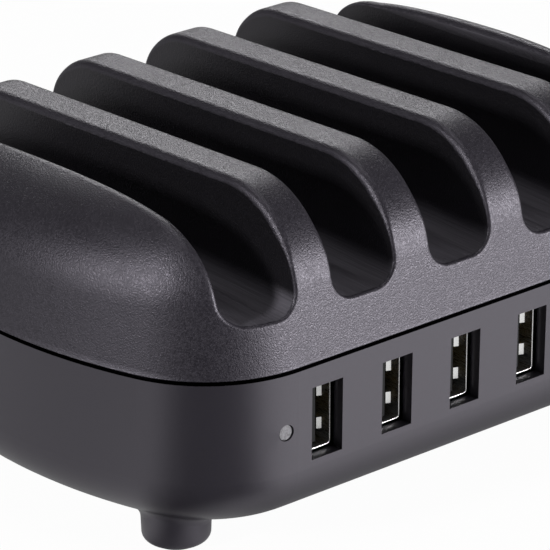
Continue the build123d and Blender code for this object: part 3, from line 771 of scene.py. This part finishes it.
floorPlan = {                                       # metres
    "half": 4.0, "tone": (0.88, 0.88, 0.88, 1), "seenWhite": 0.97,
    "underMiddle": (0.008, 0.0, 0.0), "underHalf": (0.044, 0.046, 0.0),      # painted shade under the body, as reflections see it
    "underEdge": 0.030, "underLeast": 0.26,
    "middle": (-0.035, -0.02, 0.0), "shadeFrom": (0.008, 0.026),
    "shadeWay": (-0.574, -0.819, 0.0), "shadeEdge": (0.766, 0.978),
    "brightWay": (0.64, -0.77, 0.0), "brightEdge": (-0.9, 0.4), "leastWhite": 0.42,
}


def floorMaterial(name, plan):
    # diffuse paper that the camera sees nearly white; reflections see a painted pattern on it: painted shade under the
    # body and on its shaded side, painted light on its bright side
    mat = bpy.data.materials.new(name)
    mat.use_nodes = True
    tree = mat.node_tree
    tree.nodes.clear()
    out = tree.nodes.new("ShaderNodeOutputMaterial")
    paper = tree.nodes.new("ShaderNodeBsdfDiffuse")
    paper.inputs["Color"].default_value = plan["tone"]
    glow = tree.nodes.new("ShaderNodeEmission")
    mix = tree.nodes.new("ShaderNodeMixShader")
    path = tree.nodes.new("ShaderNodeLightPath")
    spot = tree.nodes.new("ShaderNodeTexCoord").outputs["Object"]
    beyond = vectorStep(tree, "ABSOLUTE", vectorStep(tree, "SUBTRACT", spot, plan["underMiddle"]))
    beyond = vectorStep(tree, "MAXIMUM", vectorStep(tree, "SUBTRACT", beyond, plan["underHalf"]), (0.0, 0.0, 0.0))
    past = vectorStep(tree, "LENGTH", beyond)
    openFloor = smoothRange(tree, past, 0.0, plan["underEdge"], plan["underLeast"])
    bearing = vectorStep(tree, "NORMALIZE", vectorStep(tree, "SUBTRACT", spot, plan["middle"]))
    towardShade = vectorStep(tree, "DOT_PRODUCT", bearing, plan["shadeWay"])
    towardBright = vectorStep(tree, "DOT_PRODUCT", bearing, plan["brightWay"])
    shade = mathStep(tree, "MULTIPLY", smoothRange(tree, past, *plan["shadeFrom"]),
                     smoothRange(tree, towardShade, *plan["shadeEdge"]))
    brightSide = smoothRange(tree, towardBright, *plan["brightEdge"], plan["leastWhite"])
    # painted reflection: the glow strength reflections see, darker under the body and on the shaded side, lighter on
    # the bright side
    paintedReflection = mathStep(tree, "MULTIPLY", mathStep(tree, "MULTIPLY", openFloor, brightSide),
                        mathStep(tree, "SUBTRACT", 1.0, shade))
    seen = mathStep(tree, "MAXIMUM", path.outputs["Is Camera Ray"], path.outputs["Is Transmission Ray"])
    white = mathStep(tree, "MULTIPLY", seen, plan["seenWhite"])
    tree.links.new(mathStep(tree, "MAXIMUM", seen, paintedReflection), glow.inputs["Strength"])
    tree.links.new(mathStep(tree, "MAXIMUM", white, path.outputs["Is Glossy Ray"]), mix.inputs["Fac"])
    tree.links.new(paper.outputs["BSDF"], mix.inputs[1])
    tree.links.new(glow.outputs["Emission"], mix.inputs[2])
    tree.links.new(mix.outputs["Shader"], out.inputs["Surface"])
    return mat


floorMesh = bpy.data.meshes.new("floorSheet")
floorCorners = [(sx * floorPlan["half"], sy * floorPlan["half"], 0) for sx, sy in ((-1, -1), (1, -1), (1, 1), (-1, 1))]
floorMesh.from_pydata(floorCorners, [], [(0, 1, 2, 3)])
floorMesh.materials.append(floorMaterial("floorPaper", floorPlan))
floorSheet = bpy.data.objects.new("floorSheet", floorMesh)
scene.collection.objects.link(floorSheet)

worldPlan = {"sky": 0.02, "glossyShare": 0.1}       # faint fill, and how much of the white backdrop reflections see


def backdrop(tree, strength):
    node = tree.nodes.new("ShaderNodeBackground")
    node.inputs["Color"].default_value = (1, 1, 1, 1)
    node.inputs["Strength"].default_value = strength
    return node.outputs["Background"]


def makeWorld(name, plan):
    world = bpy.data.worlds.new(name)
    world.use_nodes = True
    tree = world.node_tree
    tree.nodes.clear()
    out = tree.nodes.new("ShaderNodeOutputWorld")
    mix = tree.nodes.new("ShaderNodeMixShader")
    path = tree.nodes.new("ShaderNodeLightPath")
    glossy = mathStep(tree, "MULTIPLY", path.outputs["Is Glossy Ray"], plan["glossyShare"])
    seen = mathStep(tree, "MAXIMUM", path.outputs["Is Camera Ray"], glossy)
    seen = mathStep(tree, "MAXIMUM", seen, path.outputs["Is Transmission Ray"])
    tree.links.new(seen, mix.inputs["Fac"])
    tree.links.new(backdrop(tree, plan["sky"]), mix.inputs[1])
    tree.links.new(backdrop(tree, 1.0), mix.inputs[2])
    tree.links.new(mix.outputs["Shader"], out.inputs["Surface"])
    return world


scene.world = makeWorld("studio", worldPlan)


def softbox(name, at, size, watts):
    lamp = bpy.data.lights.new(name, "AREA")
    lamp.shape = "RECTANGLE"
    lamp.size, lamp.size_y = size
    lamp.energy = watts
    obj = bpy.data.objects.new(name, lamp)
    scene.collection.objects.link(obj)
    obj.location = at
    obj.rotation_euler = (aimPoint - at).to_track_quat("-Z", "Y").to_euler()


aimPoint = Vector((0, 0, 0.035))                    # every lamp points at the middle of the body
lightPlan = {                                       # degrees from +X, degrees up, metres away, metres wide and high, watts
    "keyBox": {"turn": 297, "up": 6, "away": 1.1, "size": (0.54, 0.30), "watts": 14.8},
    "backBox": {"turn": 57, "up": 29, "away": 1.7, "size": (0.85, 0.40), "watts": 7.8},
    "leftBox": {"turn": 178, "up": 20, "away": 1.1, "size": (0.16, 0.16), "watts": 8.0},
    "topBox": {"turn": 120, "up": 82, "away": 1.1, "size": (0.30, 0.30), "watts": 1.9},
}
for lampName, plan in lightPlan.items():
    turn, up = math.radians(plan["turn"]), math.radians(plan["up"])
    toward = Vector((math.cos(turn) * math.cos(up), math.sin(turn) * math.cos(up), math.sin(up)))
    softbox(lampName, aimPoint + toward * plan["away"], plan["size"], plan["watts"])

cameraView = {                                      # mm
    "target": (-16.15, -18.4, 36.8), "forward": (0.5838, 0.7051, -0.4024), "distance": 727.9,
    "lens": 261.8, "sensor": 36.0, "nearest": 10.0,
}
camData = bpy.data.cameras.new("viewCamera")
camData.lens = cameraView["lens"]
camData.sensor_width = cameraView["sensor"]
camData.clip_start = cameraView["nearest"] * mm
cam = bpy.data.objects.new("viewCamera", camData)
scene.collection.objects.link(cam)
ahead = Vector(cameraView["forward"]).normalized()
cam.location = (Vector(cameraView["target"]) - ahead * cameraView["distance"]) * mm
cam.rotation_mode = "QUATERNION"
cam.rotation_quaternion = ahead.to_track_quat("-Z", "Y")
scene.camera = cam
scene.view_settings.view_transform = "Standard"
print("stage set")
